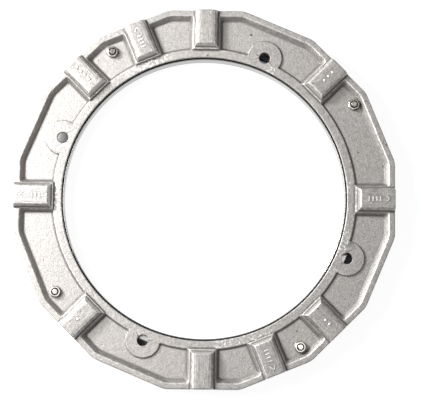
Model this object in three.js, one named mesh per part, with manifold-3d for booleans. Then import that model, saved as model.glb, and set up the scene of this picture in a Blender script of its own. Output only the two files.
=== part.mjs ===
// A speed ring: the die-cast frame that holds the rods of a softbox in front of a studio flash head.
// Millimetres, +Z up. The ring lies on its back, the side that faces the flash head. The origin is on
// the bore's axis, in the plane that the back rests on, and the rod sockets point outwards.
import * as THREE from "three";
import { mergeVertices } from "three/addons/utils/BufferGeometryUtils.js";
import Module from "manifold-3d";

const wasm = await Module();
wasm.setup();

// ---- Driving dimensions -------------------------------------------------------------------------

const SIDES = 16; // sides of the outline
const ACROSS_FLATS = 203.2; // 8 inches
const THICKNESS = 19;
const BORE = 152.4; // 6 inches
const ROUND = 96; // segments of a full turn of the large circles
const GAP = 0.3; // clearance between neighbouring pieces

const APOTHEM = ACROSS_FLATS / 2;
const BORE_R = BORE / 2;
const SIDE_ANGLE = 360 / SIDES;

// Levels of the casting, from the back plane up.
const RIM_Z = THICKNESS - 3.2; // outer rim, and the foot of each socket boss
const FLOOR_Z = RIM_Z - 2.8; // sunken floor between the bosses
const INNER_RIM_Z = FLOOR_Z + 1.2; // raised rim around the bore
const WEB_Z = FLOOR_Z - 2.6; // underside of the floor
const LIP_Z = 7; // underside of the lip that the inner ring turns under
const PLATE_Z = 0.8; // back of the retaining plate
const PLATE_TOP_Z = 2.4;
const FOOT_Z = PLATE_TOP_Z + GAP; // ends of the walls and pillars that the plate closes

// Radii and apothems of the casting.
const RIM_TOP_A = APOTHEM - 3.2; // inner edge of the outer rim
const RIM_FOOT_A = APOTHEM - 5.45; // where its sloping side meets the floor
const WALL_A = APOTHEM - 2.9; // inner face of the outer wall, on the back
const INNER_RIM_R = 80.7;
const BEARING_R = 85.6; // recess for the inner ring and its bearing band
const RACE_R = BEARING_R + 2.8; // outer face of the round wall about that recess

// Socket bosses: which of the sixteen sides carry one, and what is raised on top of it.
const SOCKETS = [
  { side: 0, mark: "strip" },
  { side: 2, mark: 3 },
  { side: 4, mark: 0 },
  { side: 5, mark: "strip" },
  { side: 6, mark: 4 },
  { side: 8, mark: "strip" },
  { side: 10, mark: 1 },
  { side: 12, mark: 0 },
  { side: 13, mark: "strip" },
  { side: 14, mark: 2 },
];
const BOSS = { foot: 12.7, top: 7.65, innerFoot: 81.3, innerTop: 83.3 };
const PLINTH = { top: 13.7, foot: 16.9, innerTop: 80.7, innerFoot: 79.9 };
const SOCKET = { radius: 4, mouthZ: 13.4, innerR: 84, tilt: 4, leadIn: 0.6 };
const MARK_HEIGHT = 0.3;

// Round pads, a quarter turn apart, each with a sight hole over the edge of the inner ring. A plain
// plug stands in the hole of the second one, sunk below its mouth.
const PAD = { count: 4, firstAngle: 67.5, centreR: 82.5, radius: 9.2, hole: 3 };
const PLUG = { pad: 1, topZ: 13.8, chamfer: 0.2 };

// The four M3 screws, by angle and distance from the axis.
const SCREWS = [
  { angle: 32.8, r: 94.8 },
  { angle: 122.7, r: 93.3 },
  { angle: 213.1, r: 93.6 },
  { angle: 303.3, r: 94.3 },
];
const M3 = { shank: 1.5, hole: 1.8, head: 2.75, length: 16, nutFlats: 5.5, nutHeight: 2.4 };

// The ring that turns: a collar inside the bore, a flange under the lip, a land through the plate.
const TURNING = {
  innerR: BORE_R - 1.1,
  collarR: BORE_R - GAP,
  collarZ: INNER_RIM_Z - 1.4,
  flangeR: 82.2,
  flangeZ: 6,
  landR: 80.3,
  backZ: 0.3,
  registerR: 76.3,
  registerDepth: 2.7,
  threadHoles: 8,
  threadHoleR: 78.3,
};

// ---- Helpers ------------------------------------------------------------------------------------

const radians = THREE.MathUtils.degToRad;

// A closed geometry as a manifold-3d solid.
function solid(geometry) {
  geometry.deleteAttribute("normal");
  geometry.deleteAttribute("uv");
  const merged = mergeVertices(geometry, 1e-4);
  return new wasm.Manifold(
    new wasm.Mesh({
      numProp: 3,
      vertProperties: merged.attributes.position.array,
      triVerts: new Uint32Array(merged.index.array),
    }),
  );
}

// A manifold-3d solid as a geometry with flat-shaded faces.
function geometryOf(made) {
  const mesh = made.getMesh();
  const geometry = new THREE.BufferGeometry();
  geometry.setAttribute("position", new THREE.BufferAttribute(mesh.vertProperties, 3));
  geometry.setIndex(new THREE.BufferAttribute(mesh.triVerts, 1));
  const flat = geometry.toNonIndexed();
  flat.computeVertexNormals();
  return flat;
}

// A closed (radius, height) profile turned about the Z axis.
function turned(profile, segments = ROUND, firstAngle = 0) {
  const points = profile.map(([r, z]) => new THREE.Vector2(r, z));
  if (THREE.ShapeUtils.area(points) < 0) points.reverse();
  points.push(points[0].clone());
  const geometry = new THREE.LatheGeometry(points, segments, firstAngle);
  return solid(geometry.rotateX(Math.PI / 2));
}

// The same profile as a ring with the outline's sixteen sides, its radii given as apothems.
function sided(profile) {
  const toCorner = 1 / Math.cos(Math.PI / SIDES);
  return turned(profile.map(([a, z]) => [a * toCorner, z]), SIDES, Math.PI / SIDES);
}

// A disc or rod along Z, from one height to another.
function rod(radius, fromZ, toZ, segments = 24) {
  const geometry = new THREE.CylinderGeometry(radius, radius, toZ - fromZ, segments);
  return solid(geometry.rotateX(Math.PI / 2).translate(0, 0, (fromZ + toZ) / 2));
}

// An outline in (x, z), made thick along Y and centred on it.
function sideSlab(outline, width) {
  const shape = new THREE.Shape(outline.map(([x, z]) => new THREE.Vector2(x, z)));
  const geometry = new THREE.ExtrudeGeometry(shape, { depth: width, bevelEnabled: false });
  return solid(geometry.rotateX(Math.PI / 2).translate(0, width / 2, 0));
}

// An outline in (y, z), drawn out along X from one radius to another.
function radialBar(outline, fromX, toX) {
  const shape = new THREE.Shape(outline.map(([y, z]) => new THREE.Vector2(y, z)));
  const geometry = new THREE.ExtrudeGeometry(shape, { depth: toX - fromX, bevelEnabled: false });
  return solid(geometry.rotateX(Math.PI / 2).rotateZ(Math.PI / 2).translate(fromX, 0, 0));
}

// An outline in (x, y), drawn up along Z.
function plate(outline, fromZ, toZ) {
  const shape = new THREE.Shape(outline.map(([x, y]) => new THREE.Vector2(x, y)));
  const geometry = new THREE.ExtrudeGeometry(shape, { depth: toZ - fromZ, bevelEnabled: false });
  return solid(geometry.translate(0, 0, fromZ));
}

function join(solids) {
  return solids.reduce((all, next) => all.add(next));
}

function atAngle(made, degrees) {
  return made.rotate([0, 0, degrees]);
}

function atScrew(made, { angle, r }) {
  return atAngle(made.translate([r, 0, 0]), angle);
}

function piece(name, made, material) {
  const mesh = new THREE.Mesh(geometryOf(made), material);
  mesh.name = name;
  return mesh;
}

// ---- Materials ----------------------------------------------------------------------------------

function metal(color, roughness) {
  return new THREE.MeshStandardMaterial({ color, roughness, metalness: 1 });
}

const castAluminium = metal(0xb9b4b0, 0.55);
const machinedAluminium = metal(0xcfcecc, 0.35);
const sheetAluminium = metal(0xaeb0b2, 0.45);
const nickelledSteel = metal(0xd8d2c4, 0.25);
const blackNylon = new THREE.MeshStandardMaterial({ color: 0x17171a, roughness: 0.6, metalness: 0 });

// ---- The casting --------------------------------------------------------------------------------

// A bar that tapers on three sides: both flanks and its inner end. It runs out to the outline.
function taperedBar(size, fromZ, footZ, topZ) {
  const flanks = radialBar(
    [
      [-size.foot / 2, fromZ],
      [size.foot / 2, fromZ],
      [size.foot / 2, footZ],
      [size.top / 2, topZ],
      [-size.top / 2, topZ],
      [-size.foot / 2, footZ],
    ],
    size.innerFoot - 1,
    APOTHEM,
  );
  const end = sideSlab(
    [
      [size.innerFoot, fromZ - 1],
      [APOTHEM + 1, fromZ - 1],
      [APOTHEM + 1, topZ + 1],
      [size.innerTop + (size.innerTop - size.innerFoot) / (topZ - footZ), topZ + 1],
      [size.innerFoot, footZ],
    ],
    size.foot + 2,
  );
  return flanks.intersect(end);
}

// Raised pips that number a diagonal rod, in a row along the boss.
function pips(count) {
  const spacing = 3;
  const middleR = 93;
  const row = [];
  for (let i = 0; i < count; i++) {
    const pip = rod(0.85, THICKNESS - 0.2, THICKNESS + MARK_HEIGHT, 12);
    row.push(pip.translate([middleR + (i - (count - 1) / 2) * spacing, 0, 0]));
  }
  return join(row);
}

// Four raised bars and an outward chevron, for a rod that a narrow strip softbox uses.
function stripMark() {
  const strokes = [];
  for (let i = 0; i < 4; i++) {
    const x = 87.2 + i * 2;
    strokes.push([[x, -1.4], [x + 0.8, -1.4], [x + 0.8, 1.4], [x, 1.4]]);
  }
  strokes.push([[95.6, -1.7], [96.7, -1.7], [99, 0], [96.7, 1.7], [95.6, 1.7], [97.9, 0]]);
  return join(strokes.map((stroke) => plate(stroke, THICKNESS - 0.2, THICKNESS + MARK_HEIGHT)));
}

function bossWithMark({ side, mark }) {
  const plinth = taperedBar(PLINTH, WEB_Z, FLOOR_Z, RIM_Z);
  let made = plinth.add(taperedBar(BOSS, FOOT_Z, RIM_Z, THICKNESS));
  if (mark === "strip") made = made.add(stripMark());
  else if (mark > 0) made = made.add(pips(mark));
  return atAngle(made, side * SIDE_ANGLE);
}

// The hole that takes a rod's tip, blind, tilted a little towards the front as it leaves.
function rodSocket({ side }) {
  const { radius, mouthZ, innerR, tilt, leadIn } = SOCKET;
  const depth = (APOTHEM - innerR) / Math.cos(radians(tilt));
  const hole = turned(
    [
      [0, -depth],
      [radius, -depth],
      [radius, -leadIn],
      [radius + leadIn, 0],
      [radius + 2 * leadIn, leadIn],
      [0, leadIn],
    ],
    20,
  );
  return atAngle(hole.rotate([0, 90 - tilt, 0]).translate([APOTHEM, 0, mouthZ]), side * SIDE_ANGLE);
}

// The profile of a disc that stands on the floor, as high as the inner rim, with a slight draft.
function raisedDisc(radius) {
  const footR = radius + 0.3;
  return [[0, WEB_Z], [footR, WEB_Z], [footR, FLOOR_Z], [radius, INNER_RIM_Z], [0, INNER_RIM_Z]];
}

// Moves a solid from the Z axis to the middle of one of the pads.
function atPad(made, pad) {
  return atAngle(made.translate([PAD.centreR, 0, 0]), PAD.firstAngle + (pad * 360) / PAD.count);
}

function pads() {
  const made = [];
  for (let i = 0; i < PAD.count; i++) made.push(atPad(turned(raisedDisc(PAD.radius), 40), i));
  return join(made);
}

function sightHoles() {
  const made = [];
  for (let i = 0; i < PAD.count; i++) made.push(atPad(rod(PAD.hole, LIP_Z - 1, THICKNESS), i));
  return join(made);
}

// The front surface: rim, sunken floor, inner rim, pads and bosses, still solid underneath.
function castingFront() {
  const edge = 0.5;
  const body = sided([[0, 0], [APOTHEM, 0], [APOTHEM, RIM_Z - edge], [APOTHEM - edge, RIM_Z], [0, RIM_Z]]);
  const sunken = sided([
    [0, FLOOR_Z],
    [RIM_FOOT_A, FLOOR_Z],
    [RIM_TOP_A, RIM_Z],
    [RIM_TOP_A, THICKNESS],
    [0, THICKNESS],
  ]);
  const innerRim = turned(raisedDisc(INNER_RIM_R));
  return body.subtract(sunken).add(innerRim).add(pads()).add(join(SOCKETS.map(bossWithMark)));
}

// What is cored out of the back: a channel under the floor that stops at the sockets and pillars.
function backChannel() {
  const channel = sided([[0, -1], [WALL_A, -1], [WALL_A, WEB_Z], [0, WEB_Z]]);
  const race = rod(RACE_R, -2, THICKNESS, ROUND);
  const block = { ...BOSS, top: BOSS.foot, innerTop: BOSS.innerFoot };
  const housings = SOCKETS.map(({ side }) =>
    atAngle(taperedBar(block, FOOT_Z, RIM_Z, THICKNESS), side * SIDE_ANGLE),
  );
  const pillars = SCREWS.map((screw) => atScrew(rod(3.75, -2, THICKNESS), screw));
  return channel.subtract(race).subtract(join(housings)).subtract(join(pillars));
}

function frontCasting() {
  const edge = 0.5;
  const bore = turned([
    [0, -1],
    [BORE_R, -1],
    [BORE_R, INNER_RIM_Z - edge],
    [BORE_R + edge, INNER_RIM_Z],
    [BORE_R + edge, THICKNESS],
    [0, THICKNESS],
  ]);
  const recess = rod(BEARING_R, -1, LIP_Z, ROUND);
  const plateSeat = sided([[0, -1], [WALL_A, -1], [WALL_A, FOOT_Z], [0, FOOT_Z]]);
  const screwHoles = SCREWS.map((screw) => {
    const hole = rod(M3.hole, -1, THICKNESS, 16);
    const nutSeat = rod(3.6, FLOOR_Z, THICKNESS);
    return atScrew(hole.add(nutSeat), screw);
  });
  return castingFront()
    .subtract(backChannel())
    .subtract(bore)
    .subtract(recess)
    .subtract(plateSeat)
    .subtract(sightHoles())
    .subtract(join(screwHoles))
    .subtract(join(SOCKETS.map(rodSocket)));
}

// ---- The pieces behind it -----------------------------------------------------------------------

function innerRing() {
  const t = TURNING;
  const edge = 0.4;
  const registerZ = t.backZ + t.registerDepth;
  const ring = turned([
    [t.registerR, t.backZ],
    [t.landR, t.backZ],
    [t.landR, FOOT_Z + 0.2],
    [t.flangeR, FOOT_Z + 0.2],
    [t.flangeR, t.flangeZ - edge],
    [t.flangeR - edge, t.flangeZ],
    [t.collarR, t.flangeZ],
    [t.collarR, t.collarZ],
    [t.innerR, t.collarZ],
    [t.innerR, registerZ + t.registerR - t.innerR],
    [t.registerR, registerZ],
  ]);
  const holes = [];
  for (let i = 0; i < t.threadHoles; i++) {
    const hole = rod(1.25, t.backZ - 1, t.flangeZ - 1.2, 12).translate([t.threadHoleR, 0, 0]);
    holes.push(atAngle(hole, (i * 360) / t.threadHoles));
  }
  return ring.subtract(join(holes));
}

// Takes the load across the axis, between the flange and the casting's recess.
function bearingBand() {
  const innerR = TURNING.flangeR + GAP;
  const outerR = BEARING_R - GAP;
  const lowZ = FOOT_Z + 0.2;
  const highZ = LIP_Z - GAP;
  return turned([[innerR, lowZ], [outerR, lowZ], [outerR, highZ], [innerR, highZ]]);
}

// Takes the load along the axis, between the flange and the lip.
function glideWasher() {
  const innerR = TURNING.collarR + GAP;
  const outerR = PAD.centreR - PAD.hole - GAP;
  const lowZ = TURNING.flangeZ + 0.2;
  const highZ = LIP_Z - 0.2;
  return turned([[innerR, lowZ], [outerR, lowZ], [outerR, highZ], [innerR, highZ]]);
}

// Closes one sight hole. It ends above the bearing band.
function holePlug() {
  const radius = PAD.hole - GAP;
  const { pad, topZ, chamfer } = PLUG;
  const profile = [
    [0, LIP_Z],
    [radius, LIP_Z],
    [radius, topZ - chamfer],
    [radius - chamfer, topZ],
    [0, topZ],
  ];
  return atPad(turned(profile, 24), pad);
}

function backPlate() {
  const outlineA = WALL_A - GAP;
  const sheet = sided([[0, PLATE_Z], [outlineA, PLATE_Z], [outlineA, PLATE_TOP_Z], [0, PLATE_TOP_Z]]);
  const opening = rod(TURNING.landR + GAP, PLATE_Z - 1, PLATE_TOP_Z + 1, ROUND);
  const wideR = M3.head + 0.4;
  const countersink = turned(
    [
      [0, PLATE_Z - 1],
      [wideR, PLATE_Z - 1],
      [wideR, PLATE_Z],
      [M3.hole, PLATE_Z + wideR - M3.hole],
      [M3.hole, PLATE_TOP_Z + 1],
      [0, PLATE_TOP_Z + 1],
    ],
    24,
  );
  return sheet.subtract(opening).subtract(join(SCREWS.map((screw) => atScrew(countersink, screw))));
}

// A countersunk M3 screw with a hexagon socket, its head at the back.
function screw() {
  const backZ = PLATE_Z + 0.1;
  const tipZ = backZ + M3.length;
  const blank = turned(
    [
      [0, backZ],
      [M3.head, backZ],
      [M3.shank, backZ + M3.head - M3.shank],
      [M3.shank, tipZ - 0.4],
      [M3.shank - 0.4, tipZ],
      [0, tipZ],
    ],
    20,
  );
  return blank.subtract(rod(2 / Math.sqrt(3), backZ - 1, backZ + 1.1, 6));
}

function nut() {
  const lowZ = FLOOR_Z + 0.1;
  const highZ = lowZ + M3.nutHeight;
  const cornerR = M3.nutFlats / Math.sqrt(3);
  const bevel = 0.3;
  const hexagon = rod(cornerR, lowZ, highZ, 6);
  const rounded = turned(
    [
      [0, lowZ],
      [cornerR - bevel, lowZ],
      [cornerR, lowZ + bevel],
      [cornerR, highZ - bevel],
      [cornerR - bevel, highZ],
      [0, highZ],
    ],
    24,
  );
  return hexagon.intersect(rounded).subtract(rod(M3.shank + 0.2, lowZ - 1, highZ + 1, 20));
}

// ---- The assembly -------------------------------------------------------------------------------

const speedRing = new THREE.Group();
speedRing.add(piece("front_casting", frontCasting(), castAluminium));
speedRing.add(piece("inner_ring", innerRing(), machinedAluminium));
speedRing.add(piece("bearing_band", bearingBand(), blackNylon));
speedRing.add(piece("glide_washer", glideWasher(), blackNylon));
speedRing.add(piece("hole_plug", holePlug(), machinedAluminium));
speedRing.add(piece("back_plate", backPlate(), sheetAluminium));

SCREWS.forEach((place, i) => {
  speedRing.add(piece(`screw_${i + 1}`, atScrew(screw(), place), nickelledSteel));
  speedRing.add(piece(`nut_${i + 1}`, atScrew(nut(), place), nickelledSteel));
});

export default speedRing;
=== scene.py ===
import math

import bmesh
import bpy
import numpy as np
from mathutils import Matrix, Quaternion, Vector


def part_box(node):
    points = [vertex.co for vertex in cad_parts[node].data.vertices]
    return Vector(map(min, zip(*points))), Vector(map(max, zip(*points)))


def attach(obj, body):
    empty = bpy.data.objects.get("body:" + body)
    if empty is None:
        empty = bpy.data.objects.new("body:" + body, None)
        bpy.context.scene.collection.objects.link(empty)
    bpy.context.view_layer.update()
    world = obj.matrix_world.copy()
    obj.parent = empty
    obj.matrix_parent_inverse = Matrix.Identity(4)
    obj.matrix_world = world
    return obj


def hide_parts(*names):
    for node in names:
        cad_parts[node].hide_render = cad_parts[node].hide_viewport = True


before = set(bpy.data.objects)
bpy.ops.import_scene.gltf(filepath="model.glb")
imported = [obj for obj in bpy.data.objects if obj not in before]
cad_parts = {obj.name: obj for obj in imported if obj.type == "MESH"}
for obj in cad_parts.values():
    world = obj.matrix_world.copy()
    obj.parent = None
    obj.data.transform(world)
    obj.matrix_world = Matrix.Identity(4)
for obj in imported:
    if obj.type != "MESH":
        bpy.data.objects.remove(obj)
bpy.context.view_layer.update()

# ---- Sizes, in millimetres, as in the CAD model --------------------------------------------------
# A name that ends in _Z is a height above the back, one in _R a distance from the axis, and one
# in _A a distance from the axis to a side of the sixteen-sided outline.

MM = 0.001
low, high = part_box("front_casting")
APOTHEM = (high.x - low.x) / 2 / MM
MARK_HEIGHT = 0.3
THICKNESS = high.z / MM - MARK_HEIGHT
SIDES = 16
SIDE = 2 * math.pi / SIDES

RIM_Z = THICKNESS - 3.2
FLOOR_Z = RIM_Z - 2.8
INNER_RIM_Z = FLOOR_Z + 1.2
WEB_Z = FLOOR_Z - 2.6
LIP_Z = 7.0
PLATE_Z = 0.8
PLATE_TOP_Z = 2.4
FOOT_Z = 2.7

RIM_TOP_A = APOTHEM - 3.2
RIM_FOOT_A = APOTHEM - 5.45
WALL_A = APOTHEM - 2.9
BORE_R = 76.2
INNER_RIM_R = 80.7
BEARING_R = 85.6
RACE_R = 88.4
EDGE = 0.5

# Socket bosses: side of the outline, and what is raised on top of it: a number of pips, none for
# 0, or the marks for a strip softbox's rod.
SOCKETS = (
    (0, "strip"), (2, 3), (4, 0), (5, "strip"), (6, 4),
    (8, "strip"), (10, 1), (12, 0), (13, "strip"), (14, 2),
)
# Feet and tops of the slopes, across from the middle line and along it from the axis.
BOSS = {"foot": 6.35, "top": 3.825, "inner_foot": 81.3, "inner_top": 83.3}
PLINTH = {"foot": 8.45, "top": 6.85, "inner_foot": 79.9, "inner_top": 80.7}
SOCKET = {"radius": 4.0, "mouth_z": 13.4, "inner_r": 84.0, "tilt": math.radians(4)}
BARS = {"count": 4, "first": 87.2, "pitch": 2, "width": 0.8, "half": 1.4}
CHEVRON = {"back": 95.6, "tip": 97.9, "stroke": 1.1, "half": 1.7, "gap": 0.08}
PIPS = {"middle": 93, "pitch": 3, "radius": 0.85}

PAD = {"first": math.radians(67.5), "centre": 82.5, "radius": 9.2, "hole": 3.0}
PAD_ANGLES = [PAD["first"] + i * math.pi / 2 for i in range(4)]
PLUG = {"angle": PAD_ANGLES[1], "radius": PAD["hole"] - 0.06, "top_z": 13.8}

RING = {"inner_r": 75.1, "collar_r": 75.9, "register_r": 76.3, "land_r": 80.3, "flange_r": 82.2,
        "back_z": 0.3, "flange_z": 2.9, "register_z": 3.0, "flange_top_z": 6.0, "top_z": 12.8}
TAPPED = {"count": 8, "circle_r": 78.3, "radius": 1.25, "bottom_z": 4.8}
BAND = {"inner_r": 82.5, "outer_r": 85.3, "low_z": 2.9, "high_z": 6.7}
WASHER = {"inner_r": 76.2, "outer_r": 79.2, "low_z": 6.2, "high_z": 6.8}
PLATE = {"outline_a": WALL_A - 0.3, "opening_r": 80.6, "edge": 0.2}

# M3 screws and nuts: angle in degrees and distance from the axis of each pair.
SCREWS = ((32.8, 94.8), (122.7, 93.3), (213.1, 93.6), (303.3, 94.3))
SCREW = {"length": 16, "radius": 1.5, "shank": 1.42, "head": 2.75, "threaded": 5, "pitch": 0.5,
         "depth": 0.28, "tip": 1.12, "key": 1.155}
NUT = {"height": 2.4, "half_flats": 2.75, "bore": 1.68, "mouth": 2.05, "washer_face": 2.62}
SEAT_R = 3.6


# ---- Mesh helpers --------------------------------------------------------------------------------

ROUND = 256
SHARP_ANGLE = math.radians(35)


def smooth_max(a, b, k):
    """The larger of two, with a blend where they differ by less than k."""
    h = np.maximum(k - np.abs(a - b), 0) / k
    return np.maximum(a, b) + h * h * k / 4


def smooth_min(a, b, k):
    """The smaller of two, with a blend where they differ by less than k."""
    return -smooth_max(-np.asarray(a), -np.asarray(b), k)


def around(columns):
    """The angles of evenly spaced columns about the axis."""
    return np.arange(columns) * 2 * math.pi / columns


def rings(theta, rows):
    """Points about the Z axis. Each row is a radius and a height, each of them a number or one
    value for each angle in theta."""
    points = np.empty((len(theta), len(rows), 3))
    for j, (radius, height) in enumerate(rows):
        points[:, j, 0] = radius * np.cos(theta)
        points[:, j, 1] = radius * np.sin(theta)
        points[:, j, 2] = height
    return points


def new_object(name, vertices, faces):
    """A mesh object from points in millimetres, with its faces turned outwards."""
    mesh = bpy.data.meshes.new(name)
    mesh.from_pydata([tuple(v * MM) for v in np.asarray(vertices)], [], faces)
    mesh.update()
    made = bmesh.new()
    made.from_mesh(mesh)
    bmesh.ops.remove_doubles(made, verts=made.verts, dist=1e-7)
    bmesh.ops.recalc_face_normals(made, faces=made.faces)
    if made.calc_volume(signed=True) < 0:
        bmesh.ops.reverse_faces(made, faces=made.faces)
    made.to_mesh(mesh)
    made.free()
    obj = bpy.data.objects.new(name, mesh)
    bpy.context.scene.collection.objects.link(obj)
    return obj


def grid_object(name, points, closed=True):
    """A surface over a (columns, rows, 3) array. It closes around the columns. Where closed is
    True it closes around the rows as well, like a tyre, and otherwise each end gets a cap."""
    columns, rows = points.shape[:2]
    index = np.arange(columns * rows).reshape(columns, rows)
    following = np.roll(index, -1, 0)
    if closed:
        quads = (index, following, np.roll(following, -1, 1), np.roll(index, -1, 1))
    else:
        quads = (index[:, :-1], following[:, :-1], following[:, 1:], index[:, 1:])
    faces = np.stack([q.ravel() for q in quads], 1).tolist()
    if not closed:
        faces.append(index[::-1, 0].tolist())
        faces.append(index[:, -1].tolist())
    return new_object(name, points.reshape(-1, 3), faces)


def rounded(profile, radius, steps=3):
    """A closed (r, z) outline with each corner turned into an arc."""
    points = [np.array(p, float) for p in profile]
    made = []
    for i, corner in enumerate(points):
        before = points[i - 1] - corner
        after = points[(i + 1) % len(points)] - corner
        lengths = np.linalg.norm(before), np.linalg.norm(after)
        cut = min(radius, 0.45 * min(lengths))
        start = corner + before / lengths[0] * cut
        end = corner + after / lengths[1] * cut
        for step in range(steps + 1):
            t = step / steps
            made.append((1 - t) ** 2 * start + 2 * t * (1 - t) * corner + t * t * end)
    return np.array(made)


def lathe(name, profile):
    """A closed (r, z) outline turned about the Z axis."""
    return grid_object(name, rings(around(ROUND), profile))


def plug(name, profile, columns=48):
    """An (r, z) line turned about the Z axis, with a flat cap at each end."""
    return grid_object(name, rings(around(columns), profile), closed=False)


def flat_ring(name, size, edge):
    """A ring of rectangular section with rounded edges."""
    profile = [(size["inner_r"], size["low_z"]), (size["outer_r"], size["low_z"]),
               (size["outer_r"], size["high_z"]), (size["inner_r"], size["high_z"])]
    return lathe(name, rounded(profile, edge))


def placed(obj, *matrices):
    """Moves a mesh by matrices whose lengths are in millimetres, the last one first."""
    total = Matrix.Identity(4)
    for matrix in matrices:
        total = total @ matrix
    total.translation = total.translation * MM
    obj.data.transform(total)
    return obj


def turn(angle, axis="Z"):
    """A turn about an axis."""
    return Matrix.Rotation(angle, 4, axis)


def shift(x, y, z):
    """A move, in millimetres."""
    return Matrix.Translation((x, y, z))


def merged(name, objects):
    """One object that holds the meshes of several that don't touch."""
    made = bmesh.new()
    for obj in objects:
        made.from_mesh(obj.data)
        bpy.data.objects.remove(obj)
    mesh = bpy.data.meshes.new(name)
    made.to_mesh(mesh)
    made.free()
    obj = bpy.data.objects.new(name, mesh)
    bpy.context.scene.collection.objects.link(obj)
    return obj


def combine(obj, others, operation):
    """Joins others to obj, or cuts them from it, and removes them."""
    tool = merged("tool", others)
    modifier = obj.modifiers.new("combine", "BOOLEAN")
    modifier.object = tool
    modifier.operation = operation
    modifier.solver = "MANIFOLD"
    bpy.context.view_layer.update()
    evaluated = obj.evaluated_get(bpy.context.evaluated_depsgraph_get())
    result = bpy.data.meshes.new_from_object(evaluated)
    obj.modifiers.clear()
    obj.data = result
    bpy.data.objects.remove(tool)
    return obj


def finished(obj, material, body, nodes):
    """Smooth shading, material, and the CAD nodes that the piece stands for."""
    mesh = obj.data
    mesh.shade_smooth()
    mesh.set_sharp_from_angle(angle=SHARP_ANGLE)
    weighted = obj.modifiers.new("normals", "WEIGHTED_NORMAL")
    weighted.keep_sharp = True
    mesh.materials.clear()
    mesh.materials.append(material)
    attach(obj, body)
    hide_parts(*nodes)
    return obj


# ---- The casting's surface -----------------------------------------------------------------------

# Lengths over which two slopes blend into a fillet or a rounded edge.
BLEND = {"outline": 0.8, "rim_to_plinth": 2.6, "rim_edge": 0.5, "floor": 0.6, "plinth": 0.5,
         "boss_corner": 0.1, "boss_edge": 0.4, "boss_foot": 0.3, "inner_rim": 0.5}
FLANK_CROWN = 3.0
END_CROWN = 1.3
INNER_SLOPE = 0.6


def corner_factor(theta, radius):
    """What a radius is multiplied by to give the distance to the outline's nearest side."""
    off = np.abs((theta + SIDE / 2) % SIDE - SIDE / 2)
    return smooth_max(np.cos(off), np.cos(SIDE - off), BLEND["outline"] / radius)


def ramp(value, foot, top):
    """0 at the foot of a slope and 1 at its top, and the same line beyond them."""
    return (value - foot) / (top - foot)


def crowned(share, power):
    """A slope that is steepest at its foot and rounds over to its top."""
    inside = 1 - (1 - np.clip(share, 0, 1)) ** power
    return np.where(share < 0, share * power, inside + np.maximum(share - 1, 0) * 0.5)


def plinth_height(across, along):
    """A plinth above the floor, which goes on rising past its top."""
    flank = ramp(across, PLINTH["foot"], PLINTH["top"])
    end = ramp(along, PLINTH["inner_foot"], PLINTH["inner_top"])
    return (RIM_Z - FLOOR_Z) * smooth_min(flank, end, BLEND["plinth"])


def boss_height(across, along):
    """A boss above its plinth."""
    top = THICKNESS - RIM_Z
    flank = crowned(ramp(across, BOSS["foot"], BOSS["top"]), FLANK_CROWN)
    end = crowned(ramp(along, BOSS["inner_foot"], BOSS["inner_top"]), END_CROWN)
    rise = top * smooth_min(flank, end, BLEND["boss_corner"])
    return smooth_max(smooth_min(rise, top, BLEND["boss_edge"]), 0, BLEND["boss_foot"])


def front_height(x, y):
    """Height of the casting's front surface, with the fillets and rounded edges of a die casting."""
    radius = np.hypot(x, y)
    theta = np.arctan2(y, x)
    rim = RIM_Z - FLOOR_Z
    inner_rim = INNER_RIM_Z - FLOOR_Z
    outer = rim * ramp(radius * corner_factor(theta, radius), RIM_FOOT_A, RIM_TOP_A)
    boss = np.zeros_like(radius)
    for side, _ in SOCKETS:
        angle = side * SIDE
        along = x * math.cos(angle) + y * math.sin(angle)
        across = np.abs(y * math.cos(angle) - x * math.sin(angle))
        outer = smooth_max(outer, plinth_height(across, along), BLEND["rim_to_plinth"])
        boss = np.maximum(boss, boss_height(across, along))
    inner = inner_rim * ramp(radius, INNER_RIM_R + INNER_SLOPE, INNER_RIM_R)
    inner = smooth_min(inner, inner_rim, BLEND["inner_rim"])
    height = smooth_max(smooth_min(outer, rim, BLEND["rim_edge"]), 0, BLEND["floor"])
    return FLOOR_Z + smooth_max(height, inner, BLEND["inner_rim"]) + boss


# ---- The casting's mesh --------------------------------------------------------------------------

def mirrored(values):
    """The same values on both sides of zero."""
    return [-v for v in reversed(values) if v > 0] + list(values)


# Distances from a boss's middle line at which columns of points lie, close together where the
# surface bends.
BOSS_COLUMNS = mirrored((
    0, 1.9, 3.2, 3.6, 3.85, 4.1, 4.4, 4.7, 5.0, 5.3, 5.6, 5.85, 6.05, 6.2, 6.35, 6.5, 6.65, 6.85,
    7.05, 7.3, 7.7, 8.1, 8.3, 8.5, 8.8, 9.2,
))
STEP_BETWEEN = 0.75

# Distances from the axis at which rows of points lie: round ones near the bore, and ones that
# follow the outline near the rim. Between them the rows change from the one to the other.
ROUND_ROWS = (77.6, 79.2, 79.8, 80.1, 80.3, 80.5, 80.65, 80.8, 80.95, 81.1, 81.25, 81.4, 81.6, 81.8,
              82.1, 82.5, 82.9, 83.1, 83.25, 83.4, 83.6, 83.9, 84.4)
SIDED_ROWS = (94.8, 95.2, 95.5, 95.8, 96.0, 96.2, 96.4, 96.7, 97.1, 97.5, 97.9, 98.1, 98.3, 98.5,
              98.7, 99.2, 100.2)
ROWS_BETWEEN = 9
ARC_STEPS = 4


def round_row(radius, rule, value=0.0):
    """A row on a circle."""
    return (radius, 0, 0, rule, value)


def sided_row(apothem, rule, value=0.0):
    """A row that follows the outline."""
    return (0, apothem, 1, rule, value)


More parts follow.
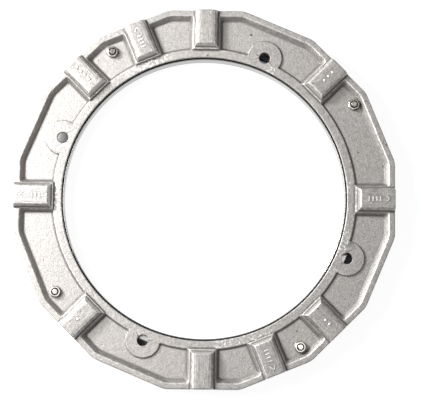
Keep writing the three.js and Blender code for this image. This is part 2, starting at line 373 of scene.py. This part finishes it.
def casting_rows():
    """The loop that each column follows: radius, apothem, share of the outline's shape, and a rule
    for the height. It is a drop below the front surface, a share of the side's height, or fixed."""
    arc = [i * math.pi / 2 / ARC_STEPS for i in range(ARC_STEPS + 1)]
    insets = [(EDGE * (1 - math.cos(a)), EDGE * (1 - math.sin(a))) for a in arc]
    rows = [round_row(BORE_R + inset, "drop", drop) for inset, drop in insets]
    rows += [round_row(r, "drop") for r in ROUND_ROWS]
    start, end = ROUND_ROWS[-1], SIDED_ROWS[0]
    for i in range(1, ROWS_BETWEEN):
        share = i / ROWS_BETWEEN
        reach = start + share * (end - start)
        rows.append((reach, reach, share, "drop", 0.0))
    rows += [sided_row(a, "drop") for a in SIDED_ROWS]
    rows += [sided_row(APOTHEM - inset, "drop", drop) for inset, drop in reversed(insets)]
    rows += [sided_row(APOTHEM, "share", share) for share in (0.9, 0.8, 0.6, 0.3)]
    rows += [sided_row(APOTHEM - inset, "fixed", drop) for inset, drop in insets]
    rows += [
        sided_row(WALL_A + 0.3, "fixed", 0),
        sided_row(WALL_A, "fixed", 0.3),
        sided_row(WALL_A, "fixed", WEB_Z - 0.6),
        sided_row(WALL_A - 0.6, "fixed", WEB_Z),
        round_row(RACE_R, "fixed", WEB_Z),
        round_row(RACE_R, "fixed", FOOT_Z),
        round_row(BEARING_R, "fixed", FOOT_Z),
        round_row(BEARING_R, "fixed", LIP_Z),
        round_row(BORE_R + 0.3, "fixed", LIP_Z),
        round_row(BORE_R, "fixed", LIP_Z + 0.3),
        round_row(BORE_R, "fixed", INNER_RIM_Z - 2.5),
    ]
    return rows


def casting_grid():
    """All the points of the casting before anything is added to it or cut from it."""
    rows = casting_rows()
    radius, apothem, share = (np.array([row[i] for row in rows], float) for i in range(3))

    def distance(theta):
        outline = apothem / corner_factor(theta, np.maximum(apothem, BORE_R))
        return (1 - share) * radius + share * outline

    def beside(angle, offset):
        """The angles at which a line at an offset beside a boss's middle line meets each row."""
        theta = np.full(len(rows), angle)
        for _ in range(4):
            theta = angle + np.arcsin(offset / distance(theta))
        return theta

    columns = []
    angles = [side * SIDE for side, _ in SOCKETS]
    for angle, following in zip(angles, angles[1:] + [angles[0] + 2 * math.pi]):
        columns += [beside(angle, offset) for offset in BOSS_COLUMNS]
        start, end = columns[-1], beside(following, BOSS_COLUMNS[0])
        count = max(2, int(round((end - start).mean() * 90 / STEP_BETWEEN)))
        columns += [start + (end - start) * k / count for k in range(1, count)]
    theta = np.array(columns)
    reach = np.array([distance(column) for column in theta])
    x, y = reach * np.cos(theta), reach * np.sin(theta)
    front = front_height(x, y)
    z = np.empty_like(front)
    for j, (_, _, _, rule, value) in enumerate(rows):
        if rule == "drop":
            z[:, j] = front[:, j] - value
        elif rule == "share":
            z[:, j] = EDGE + value * (front[:, j] - 2 * EDGE)
        else:
            z[:, j] = value
    return np.stack([x, y, z], 2)


def pad_disc(angle):
    """A round pad with a small fillet at its foot, cut off where it would reach into the bore."""
    r = PAD["radius"]
    top = INNER_RIM_Z + 0.004
    fillet = 0.2
    foot = [(r + 0.15 + fillet * (1 - math.sin(a)), FLOOR_Z - 0.02 + fillet * (1 - math.cos(a)))
            for a in (0.1, 0.4, 0.8, 1.2)]
    line = [(r - 0.4, WEB_Z), (r + 0.5, FLOOR_Z - 0.3)] + foot
    line += [(r + 0.05, top - 0.35), (r - 0.04, top - 0.15), (r - 0.18, top - 0.04), (r - 0.4, top)]
    disc = placed(plug("pad", line, 96), turn(angle), shift(PAD["centre"], 0, 0))
    bore = plug("bore", [(BORE_R + EDGE, WEB_Z - 1), (BORE_R + EDGE, top + 1)], ROUND)
    return combine(disc, [bore], "DIFFERENCE")


def sight_hole_cutter(angle):
    """A round hole through a pad, whose mouth has a rounded edge."""
    r, flare = PAD["hole"], 0.25
    line = [(r, LIP_Z - 2)]
    line += [(r + flare * (1 - math.cos(a)), INNER_RIM_Z - flare * (1 - math.sin(a)))
             for a in (0, 0.4, 0.8, 1.2)]
    line += [(r + flare, INNER_RIM_Z + 0.02), (r + flare, INNER_RIM_Z + 8)]
    return placed(plug("hole", line, 64), turn(angle), shift(PAD["centre"], 0, 0))


def nut_seat_cutter(angle, r):
    """A clear hole for a screw, and a flat spot in the floor for its nut."""
    line = [(1.8, -1), (1.8, FLOOR_Z - 0.02), (SEAT_R - 0.05, FLOOR_Z - 0.02),
            (SEAT_R, FLOOR_Z + 0.1), (SEAT_R, FLOOR_Z + 6)]
    return placed(plug("seat", line), turn(math.radians(angle)), shift(r, 0, 0))


def socket_cutter(side):
    """The blind hole that takes a rod's tip."""
    r = SOCKET["radius"]
    tilt = SOCKET["tilt"]
    depth = (APOTHEM - SOCKET["inner_r"]) / math.cos(tilt)
    line = [(1.0, -depth - 0.5), (r - 0.4, -depth), (r, -depth + 0.4), (r, -0.9), (r + 0.12, -0.5),
            (r + 0.35, -0.2), (r + 0.7, 0.05), (r + 1.5, 0.7)]
    return placed(plug("socket", line), turn(side * SIDE), shift(APOTHEM, 0, SOCKET["mouth_z"]),
                  turn(math.pi / 2 - tilt, "Y"))


def housing_block(side):
    """The solid part of the casting around a rod socket, under the floor."""
    half, inner, outer = BOSS["foot"], BEARING_R + 0.5, WALL_A + 0.5
    corners = [(x, y, z) for z in (FOOT_Z, WEB_Z + 1) for x, y in
               ((inner, -half), (outer, -half), (outer, half), (inner, half))]
    faces = [(3, 2, 1, 0), (4, 5, 6, 7), (0, 1, 5, 4), (1, 2, 6, 5), (2, 3, 7, 6), (3, 0, 4, 7)]
    return placed(new_object("block", np.array(corners), faces), turn(side * SIDE))


def raised_stroke(outline):
    """A short raised stroke on top of a boss, with sloping sides."""
    outline = np.array(outline, float)
    middle = outline.mean(0)
    count = len(outline)
    levels = ((1.0, -0.25), (1.0, 0.05), (0.9, MARK_HEIGHT - 0.05), (0.8, MARK_HEIGHT))
    corners = []
    for scale, height in levels:
        for x, y in middle + (outline - middle) * scale:
            corners.append((x, y, THICKNESS + height))
    last = len(levels) - 1
    faces = [list(range(count))[::-1], list(range(last * count, (last + 1) * count))]
    for level in range(last):
        for i in range(count):
            a, b = level * count + i, level * count + (i + 1) % count
            faces.append([a, b, b + count, a + count])
    return new_object("stroke", np.array(corners), faces)


def pip(x):
    """A small round dot with a domed top."""
    r = PIPS["radius"]
    line = [(r, THICKNESS - 0.25), (r, THICKNESS + 0.05), (r - 0.1, THICKNESS + 0.18),
            (r - 0.35, THICKNESS + MARK_HEIGHT - 0.03), (r - 0.65, THICKNESS + MARK_HEIGHT)]
    return placed(plug("pip", line, 24), shift(x, 0, 0))


def strip_marks():
    """Bars and an outward chevron, for a strip softbox's rod."""
    made = []
    half = BARS["half"]
    for i in range(BARS["count"]):
        x = BARS["first"] + i * BARS["pitch"]
        far = x + BARS["width"]
        made.append(raised_stroke([(x, -half), (far, -half), (far, half), (x, half)]))
    back, tip, stroke = CHEVRON["back"], CHEVRON["tip"], CHEVRON["stroke"]
    for sign in (-1, 1):
        wide, near = CHEVRON["half"] * sign, CHEVRON["gap"] * sign
        leg = [(back, wide), (back + stroke, wide), (tip + stroke, near), (tip, near)]
        made.append(raised_stroke(leg[::sign]))
    return made


def marks(side, mark):
    """What is raised on top of one boss."""
    if mark == "strip":
        made = strip_marks()
    else:
        made = [pip(PIPS["middle"] + (i - (mark - 1) / 2) * PIPS["pitch"]) for i in range(mark)]
    return [placed(obj, turn(side * SIDE)) for obj in made]


# Attribute, how far away the surface is compared, and the difference in height that counts as 1:
# edge for worn edges, corner for painted shade.
WEAR_AND_SHADE = (("edge", 0.5, 0.12), ("corner", 0.85, -0.25))


def mark_wear_and_shade(mesh):
    """How much each point of the front lies on an outer edge, which handling wears bright, or in a
    corner, which gets painted shade."""
    co = np.empty(len(mesh.vertices) * 3)
    mesh.vertices.foreach_get("co", co)
    x, y, z = co.reshape(-1, 3).T / MM
    front = front_height(x, y)
    for name, reach, full in WEAR_AND_SHADE:
        near = 0
        for dx, dy in ((reach, 0), (-reach, 0), (0, reach), (0, -reach)):
            near = near + front_height(x + dx, y + dy) / 4
        share = np.where(z > FLOOR_Z - 0.3, (front - near) / full, 0)
        attribute = mesh.attributes.new(name, "FLOAT", "POINT")
        attribute.data.foreach_set("value", np.clip(share, 0, 1).astype(np.float32))


def build_casting():
    """The casting: its surface, what is joined to it, and what is cut from it."""
    casting = grid_object("casting", casting_grid())
    combine(casting, [housing_block(side) for side, _ in SOCKETS], "UNION")
    combine(casting, [pad_disc(angle) for angle in PAD_ANGLES], "UNION")
    combine(casting, [stroke for side, mark in SOCKETS for stroke in marks(side, mark)], "UNION")
    cutters = [sight_hole_cutter(angle) for angle in PAD_ANGLES]
    cutters += [nut_seat_cutter(angle, r) for angle, r in SCREWS]
    cutters += [socket_cutter(side) for side, _ in SOCKETS]
    combine(casting, cutters, "DIFFERENCE")
    casting.name = "casting"
    mark_wear_and_shade(casting.data)
    return casting


# ---- The other pieces ----------------------------------------------------------------------------

def build_inner_ring():
    """The turned ring: collar, flange, land, register and the tapped holes in its back."""
    inner_r, collar_r, register_r = RING["inner_r"], RING["collar_r"], RING["register_r"]
    land_r, flange_r = RING["land_r"], RING["flange_r"]
    profile = [
        (register_r, RING["back_z"]),
        (land_r, RING["back_z"]),
        (land_r, RING["flange_z"]),
        (flange_r, RING["flange_z"]),
        (flange_r, RING["flange_top_z"]),
        (collar_r, RING["flange_top_z"]),
        (collar_r, RING["top_z"] - 0.8),
        (collar_r - 0.3, RING["top_z"]),
        (inner_r, RING["top_z"]),
        (inner_r, RING["register_z"] + 1.2),
        (register_r, RING["register_z"]),
    ]
    ring = lathe("turning_ring", rounded(profile, 0.3))
    r, bottom = TAPPED["radius"], TAPPED["bottom_z"]
    line = [(r - 0.35, bottom), (r, bottom - 0.3), (r, 0.7), (r + 0.35, 0.25), (r + 0.65, -0.5)]
    holes = [placed(plug("tapped", line, 24), turn(i * 2 * math.pi / TAPPED["count"]),
                    shift(TAPPED["circle_r"], 0, 0)) for i in range(TAPPED["count"])]
    return combine(ring, holes, "DIFFERENCE")


def build_bearing_band():
    return flat_ring("nylon_band", BAND, 0.25)


def build_glide_washer():
    return flat_ring("nylon_washer", WASHER, 0.1)


def build_hole_plug():
    """The plain plug in one of the sight holes, its front end faced on a lathe."""
    r, top = PLUG["radius"], PLUG["top_z"]
    line = [(r - 0.25, LIP_Z), (r, LIP_Z + 0.25), (r, top - 0.12), (r - 0.04, top - 0.04),
            (r - 0.12, top), (0.5, top)]
    return placed(plug("sight_plug", line, 64), turn(PLUG["angle"]), shift(PAD["centre"], 0, 0))


def build_back_plate():
    """Sixteen-sided sheet with a round opening and four countersunk holes."""
    theta = around(320)
    outside = PLATE["outline_a"] / corner_factor(theta, PLATE["outline_a"])
    opening = PLATE["opening_r"]
    edge = PLATE["edge"]
    rows = [
        (outside - edge, PLATE_Z),
        (outside, PLATE_Z + edge),
        (outside, PLATE_TOP_Z - edge),
        (outside - edge, PLATE_TOP_Z),
        (opening + edge, PLATE_TOP_Z),
        (opening, PLATE_TOP_Z - edge),
        (opening, PLATE_Z + edge),
        (opening + edge, PLATE_Z),
    ]
    plate = grid_object("retaining_plate", rings(theta, rows))
    line = [(3.5, PLATE_Z - 0.4), (3.15, PLATE_Z), (1.8, PLATE_Z + 1.35), (1.8, PLATE_TOP_Z + 1)]
    sinks = [placed(plug("sink", line), turn(math.radians(angle)), shift(r, 0, 0))
             for angle, r in SCREWS]
    return combine(plate, sinks, "DIFFERENCE")


def thread_radius(z, theta, tip):
    """A thread's surface at height z: a helical groove, cut down to a cone at the tip."""
    phase = (z / SCREW["pitch"] - theta / (2 * math.pi)) % 1
    groove = np.clip(np.abs(phase - 0.5) * 2.6 - 0.15, 0, 1)
    cone = SCREW["tip"] + (tip - z) * 0.5
    return np.minimum(SCREW["radius"] - SCREW["depth"] * groove, cone)


def build_screw(number, angle, r):
    """Countersunk M3 screw, with a helical thread where its end stands out of the nut."""
    back = PLATE_Z + 0.1
    tip = back + SCREW["length"]
    threaded_from = tip - SCREW["threaded"]
    head, shank, key = SCREW["head"], SCREW["shank"], SCREW["key"]
    theta = around(40)
    rows = [(head - 0.1, back), (head, back + 0.08), (head - 0.05, back + 0.2), (1.6, back + 1.25),
            (shank, back + 1.6), (shank, threaded_from)]
    rows += [(thread_radius(z, theta, tip), z)
             for z in np.arange(threaded_from + 0.06, tip - 0.02, SCREW["pitch"] / 8)]
    screw = grid_object(f"machine_screw_{number}", rings(theta, rows), closed=False)
    socket = plug("key", [(0.2, back + 1.35), (key, back + 1.1), (key, back - 1)], 6)
    combine(screw, [socket], "DIFFERENCE")
    return placed(screw, turn(math.radians(angle)), shift(r, 0, 0))


def build_nut(number, angle, r):
    """M3 hexagon nut with both faces chamfered to a circle."""
    low_z = FLOOR_Z + 0.1
    high_z = low_z + NUT["height"]
    sixth = math.pi / 3
    bore, mouth = NUT["bore"], NUT["mouth"]
    theta = around(96)
    off = np.abs((theta + sixth / 2) % sixth - sixth / 2)
    hexagon = NUT["half_flats"] / smooth_max(np.cos(off), np.cos(sixth - off), 0.05)
    slope = math.tan(math.radians(30))

    def face(share):
        """Distance from the nut's axis, and how far the chamfer has dropped there."""
        reach = mouth + (hexagon - mouth) * share
        return reach, smooth_max((reach - NUT["washer_face"]) * slope, 0.0, 0.06)

    rows = [(bore, low_z + 0.3), (bore, high_z - 0.7), (mouth - 0.05, high_z - 0.06),
            (mouth, high_z)]
    for share in (0.25, 0.45, 0.6, 0.75, 0.9, 0.97, 1.0):
        reach, drop = face(share)
        rows.append((reach, high_z - drop))
    for share in (0.03, 0.5, 0.97):
        reach, drop = face(1.0)
        rows.append((reach, high_z - drop + (low_z - high_z + 2 * drop) * share))
    for share in (1.0, 0.9, 0.75, 0.6, 0.3):
        reach, drop = face(share)
        rows.append((reach, low_z + drop))
    rows.append((mouth - 0.05, low_z))
    nut = grid_object(f"hexagon_nut_{number}", rings(theta, rows))
    spin = math.radians(17 * number)
    return placed(nut, turn(math.radians(angle)), shift(r, 0, 0), turn(spin))


# ---- Materials -----------------------------------------------------------------------------------
# Coordinates and distances are in metres, noise scales in waves for each metre, and colours linear.

class Nodes:
    """A short way to write a node tree."""

    def __init__(self, name):
        self.material = bpy.data.materials.new(name)
        self.material.use_nodes = True
        self.tree = self.material.node_tree
        self.shader = self.tree.nodes["Principled BSDF"]

    def node(self, kind, inputs=None, **settings):
        made = self.tree.nodes.new(kind)
        for key, value in settings.items():
            setattr(made, key, value)
        for key, value in (inputs or {}).items():
            self.feed(made.inputs[key], value)
        return made

    def feed(self, socket, value):
        if isinstance(value, bpy.types.NodeSocket):
            self.tree.links.new(value, socket)
        else:
            socket.default_value = value

    def surface(self, **inputs):
        """Sets the shader's inputs, whose names are written with _ for a space."""
        for name, value in inputs.items():
            self.feed(self.shader.inputs[name.replace("_", " ")], value)
        return self.material

    def math(self, operation, a, b=0.0):
        return self.node("ShaderNodeMath", {0: a, 1: b}, operation=operation).outputs[0]

    def place(self):
        return self.node("ShaderNodeTexCoord").outputs["Object"]

    def noise(self, vector, scale, detail=3.0, roughness=0.5):
        inputs = {"Vector": vector, "Scale": scale, "Detail": detail, "Roughness": roughness}
        return self.node("ShaderNodeTexNoise", inputs).outputs["Fac"]

    def stretch(self, value, low_in, high_in, low_out, high_out):
        """Maps one range to another, and holds the ends."""
        inputs = {"Value": value, "From Min": low_in, "From Max": high_in,
                  "To Min": low_out, "To Max": high_out}
        return self.node("ShaderNodeMapRange", inputs, clamp=True).outputs["Result"]

    def vary(self, noise, low_out, high_out):
        """Maps the part of a noise where most of its values lie to a range."""
        return self.stretch(noise, 0.3, 0.7, low_out, high_out)

    def mix(self, factor, a, b, blend="MIX"):
        made = self.node("ShaderNodeMix", data_type="RGBA", blend_type=blend)
        self.feed(made.inputs[0], factor)
        self.feed(made.inputs[6], a)
        self.feed(made.inputs[7], b)
        return made.outputs[2]

    def shades(self, noise, dark, light):
        """A colour between two, which follows a noise."""
        return self.mix(self.vary(noise, 0, 1), dark, light)

    def times(self, a, b):
        return self.mix(1.0, a, b, "MULTIPLY")

    def bump(self, height, strength, distance):
        inputs = {"Height": height, "Strength": strength, "Distance": distance}
        return self.node("ShaderNodeBump", inputs).outputs["Normal"]

    def attribute(self, name):
        return self.node("ShaderNodeAttribute", attribute_name=name).outputs["Fac"]

    def crease(self, reach):
        """1 deep in a corner between surfaces, and 0 where nothing stands within reach."""
        made = self.node("ShaderNodeAmbientOcclusion", {"Distance": reach}, samples=8)
        return self.stretch(made.outputs["AO"], 0.5, 0.93, 1, 0)

    def above(self, height, level, soft):
        """0 below a height in millimetres, and 1 from a little above it."""
        return self.stretch(height, level * MM, (level + soft) * MM, 0, 1)

    def polar(self):
        """The angle around the axis, and the distance from it and the height in metres."""
        x, y, z = self.node("ShaderNodeSeparateXYZ", {0: self.place()}).outputs
        angle = self.math("ARCTAN2", y, x)
        squares = self.math("ADD", self.math("MULTIPLY", x, x), self.math("MULTIPLY", y, y))
        return angle, self.math("SQRT", squares), z

    def scaled(self, *parts):
        """A vector of up to three values, each multiplied by its own factor."""
        inputs = {i: self.math("MULTIPLY", value, factor) for i, (value, factor) in enumerate(parts)}
        return self.node("ShaderNodeCombineXYZ", inputs).outputs[0]


def grey(value, warmth=0.0):
    """A grey, a little redder and less blue where warmth is more than 0."""
    return (value * (1 + warmth), value, value * (1 - warmth), 1)


def cast_aluminium():
    """Raw die casting: fine matt grain, painted shade in its corners, painted highlight on its
    raised marks, and bright worn edges and scuffs.
    """
    warm, cool = (0.476, 0.452, 0.43, 1), (0.462, 0.448, 0.436, 1)
    # The first colour is painted shade for corners and creases; the second is for small pits.
    crease_shade_colour, pit_colour = (0.09, 0.084, 0.08, 1), (0.1, 0.092, 0.085, 1)
    # Worn edges, and the painted highlight on the tops of the raised marks.
    edge_colour, mark_highlight_colour = (0.78, 0.76, 0.74, 1), (0.86, 0.84, 0.82, 1)
    scuff_colour = (0.86, 0.84, 0.81, 1)
    n = Nodes("cast_aluminium")
    place = n.place()
    angle, radius, height = n.polar()
    fine = n.noise(place, 1300, 2.0)
    medium = n.noise(place, 480, 3.0, 0.6)
    broad = n.noise(place, 28, 3.0, 0.6)

    tint = n.mix(n.stretch(broad, 0.35, 0.65, 0, 1), warm, cool)
    tint = n.times(tint, n.shades(medium, grey(0.9), grey(1.08)))
    tint = n.times(tint, n.shades(fine, grey(0.78), grey(1.16)))

    # Painted shade: corners and creases, found by ambient occlusion and the corner attribute, are
    # darkened and made less metallic.
    crease_shade = n.math("MAXIMUM", n.crease(0.0011), n.attribute("corner"))
    crease_shade = n.math("MULTIPLY", crease_shade, n.vary(medium, 0.65, 0.95))
    tint = n.mix(crease_shade, tint, crease_shade_colour)
    worn = n.math("MULTIPLY", n.attribute("edge"), n.stretch(medium, 0.4, 0.6, 0.25, 0.9))
    tint = n.mix(worn, tint, edge_colour)

    # Brushed along the tops of the bosses.
    streak = n.noise(n.scaled((angle, 170.0), (radius, 130.0)), 1.0, 3.0, 0.6)
    brushed = n.times(tint, n.shades(streak, grey(0.72), grey(1.2)))
    tint = n.mix(n.above(height, THICKNESS - 0.4, 0.3), tint, brushed)
    # Painted highlight: the tops of the raised marks are made lighter.
    mark_highlight = n.math("MULTIPLY", n.above(height, THICKNESS + 0.08, 0.12), 0.85)
    tint = n.mix(mark_highlight, tint, mark_highlight_colour)

    # Scuffs on the rim of the bore, and small pits everywhere.
    on_rim = n.math("MULTIPLY", n.stretch(radius, 79.9 * MM, 80.5 * MM, 1, 0),
                    n.above(height, INNER_RIM_Z - 0.4, 0.3))
    scuff = n.math("MULTIPLY", n.stretch(n.noise(place, 34, 2.0), 0.56, 0.66, 0, 1),
                   n.stretch(n.noise(place, 700, 3.0, 0.7), 0.5, 0.6, 0, 1))
    tint = n.mix(n.math("MULTIPLY", scuff, on_rim), tint, scuff_colour)
    pit = n.stretch(n.noise(place, 330, 1.0), 0.76, 0.8, 0, 0.8)
    tint = n.mix(pit, tint, pit_colour)

    rough = n.math("SUBTRACT", n.vary(medium, 0.54, 0.64), n.math("MULTIPLY", worn, 0.14))
    metal = n.math("SUBTRACT", 1.0, n.math("MULTIPLY", crease_shade, 0.8))
    grain = n.math("ADD", n.math("MULTIPLY", fine, 0.8), medium)
    return n.surface(Base_Color=tint, Roughness=rough, Metallic=metal,
                     Normal=n.bump(grain, 0.6, 0.0002))


def turned_aluminium(name, dark, light, roughness):
    """Machined on a lathe: fine concentric tool marks."""
    n = Nodes(name)
    angle, radius, height = n.polar()
    tool = n.noise(n.scaled((angle, 0.6), (radius, 2600.0), (height, 2600.0)), 1.0, 2.0)
    haze = n.noise(n.place(), 60, 3.0)
    return n.surface(
        Base_Color=n.shades(tool, grey(dark, 0.01), grey(light, 0.01)),
        Roughness=n.vary(haze, roughness, roughness + 0.08),
        Metallic=1.0,
        Normal=n.bump(tool, 0.35, 0.00006),
    )


def sheet_aluminium():
    """Rolled sheet: grain in one direction."""
    n = Nodes("sheet_aluminium")
    x, y, _ = n.node("ShaderNodeSeparateXYZ", {0: n.place()}).outputs
    grain = n.noise(n.scaled((x, 12.0), (y, 1400.0)), 1.0, 3.0, 0.6)
    cloud = n.noise(n.place(), 35, 3.0)
    return n.surface(
        Base_Color=n.shades(grain, grey(0.55), grey(0.66)),
        Roughness=n.vary(cloud, 0.34, 0.5),
        Metallic=1.0,
        Normal=n.bump(grain, 0.25, 0.00008),
    )


def nickelled_steel():
    """Bright nickel plate with a faint warm cast, and painted shade in its corners."""
    dull, bright = (0.70, 0.65, 0.59, 1), (0.82, 0.78, 0.72, 1)
    crease_shade_colour = (0.02, 0.017, 0.014, 1)
    n = Nodes("nickelled_steel")
    cloud = n.noise(n.place(), 500, 3.0)
    tint = n.mix(n.stretch(cloud, 0.35, 0.65, 0, 1), dull, bright)
    return n.surface(
        # Painted shade: creases, found by ambient occlusion, are darkened nearly to black.
        Base_Color=n.mix(n.crease(0.0014), tint, crease_shade_colour),
        Roughness=n.vary(cloud, 0.16, 0.3),
        Metallic=1.0,
        Normal=n.bump(cloud, 0.1, 0.0001),
    )


def black_nylon():
    """Matt black plastic with a fine moulded texture."""
    n = Nodes("black_nylon")
    texture = n.noise(n.place(), 1600, 2.0)
    return n.surface(
        Base_Color=n.shades(texture, grey(0.012), grey(0.022)),
        Roughness=n.vary(texture, 0.5, 0.65),
        Normal=n.bump(texture, 0.2, 0.0001),
    )


# ---- Stage ---------------------------------------------------------------------------------------

FLOOR_SIZE = 6.0
WORLD_STRENGTH = 0.24

# Name, position, what it points at, diameter in metres, power in watts.
LIGHTS = (
    ("key", (-0.42, 0.24, 0.34), (-0.02, 0.0, 0.0), 0.14, 4.6),
    ("glow", (-0.34, 0.06, 0.42), (-0.05, 0.0, 0.0), 0.3, 2.3),
    ("top", (0.0, 0.0, 1.3), (0.0, 0.0, 0.0), 0.5, 1.2),
)

CAMERA = {"elevation": math.radians(83), "distance": 0.92, "roll": math.radians(0.7),
          "target": (0.00332, -0.00092, 0.012), "lens": 147.2}


def build_floor():
    """White paper, which glows a little so that it stays pale under the soft light."""
    size = FLOOR_SIZE
    corners = [(-size, -size, 0), (size, -size, 0), (size, size, 0), (-size, size, 0)]
    mesh = bpy.data.meshes.new("floor")
    mesh.from_pydata(corners, [], [(0, 1, 2, 3)])
    floor = bpy.data.objects.new("floor", mesh)
    bpy.context.scene.collection.objects.link(floor)
    n = Nodes("floor_paper")
    n.surface(Base_Color=grey(0.25), Roughness=0.9, Specular_IOR_Level=0.1,
              Emission_Color=grey(1.0), Emission_Strength=0.9)
    mesh.materials.append(n.material)


def aimed(obj, position, direction, roll=0.0):
    """Puts a light or a camera in its place, pointing in a direction."""
    obj.location = position
    aim = direction.to_track_quat("-Z", "Y") @ Quaternion((0, 0, 1), roll)
    obj.rotation_euler = aim.to_euler()
    bpy.context.scene.collection.objects.link(obj)


def build_lights():
    for name, position, target, size, power in LIGHTS:
        light = bpy.data.lights.new(name, "AREA")
        light.shape = "DISK"
        light.size = size
        light.energy = power
        aimed(bpy.data.objects.new(name, light), position, Vector(target) - Vector(position))
    world = bpy.data.worlds.new("studio")
    world.use_nodes = True
    background = world.node_tree.nodes["Background"]
    background.inputs["Color"].default_value = grey(1.0)
    background.inputs["Strength"].default_value = WORLD_STRENGTH
    bpy.context.scene.world = world


def build_camera():
    """Above the ring, a little towards its lower edge, as the photograph looks at it."""
    elevation = CAMERA["elevation"]
    away = Vector((0, -math.cos(elevation), math.sin(elevation)))
    camera = bpy.data.cameras.new("camera")
    camera.lens = CAMERA["lens"]
    obj = bpy.data.objects.new("camera", camera)
    aimed(obj, Vector(CAMERA["target"]) + away * CAMERA["distance"], -away, CAMERA["roll"])
    bpy.context.scene.camera = obj


# ---- Assembly ------------------------------------------------------------------------------------

build_camera()
build_lights()
build_floor()
bpy.context.scene.view_settings.view_transform = "Standard"

cast = cast_aluminium()
machined = turned_aluminium("turned_aluminium", 0.29, 0.37, 0.14)
dulled = turned_aluminium("dulled_aluminium", 0.13, 0.16, 0.52)
sheet = sheet_aluminium()
nickel = nickelled_steel()
nylon = black_nylon()

finished(build_casting(), cast, "housing", ["front_casting"])
finished(build_inner_ring(), machined, "rotor", ["inner_ring"])
finished(build_bearing_band(), nylon, "housing", ["bearing_band"])
finished(build_glide_washer(), nylon, "housing", ["glide_washer"])
finished(build_hole_plug(), dulled, "housing", ["hole_plug"])
finished(build_back_plate(), sheet, "housing", ["back_plate"])
for number, (angle, r) in enumerate(SCREWS, 1):
    screw, nut = build_screw(number, angle, r), build_nut(number, angle, r)
    finished(screw, nickel, "housing", [f"screw_{number}"])
    finished(nut, nickel, "housing", [f"nut_{number}"])
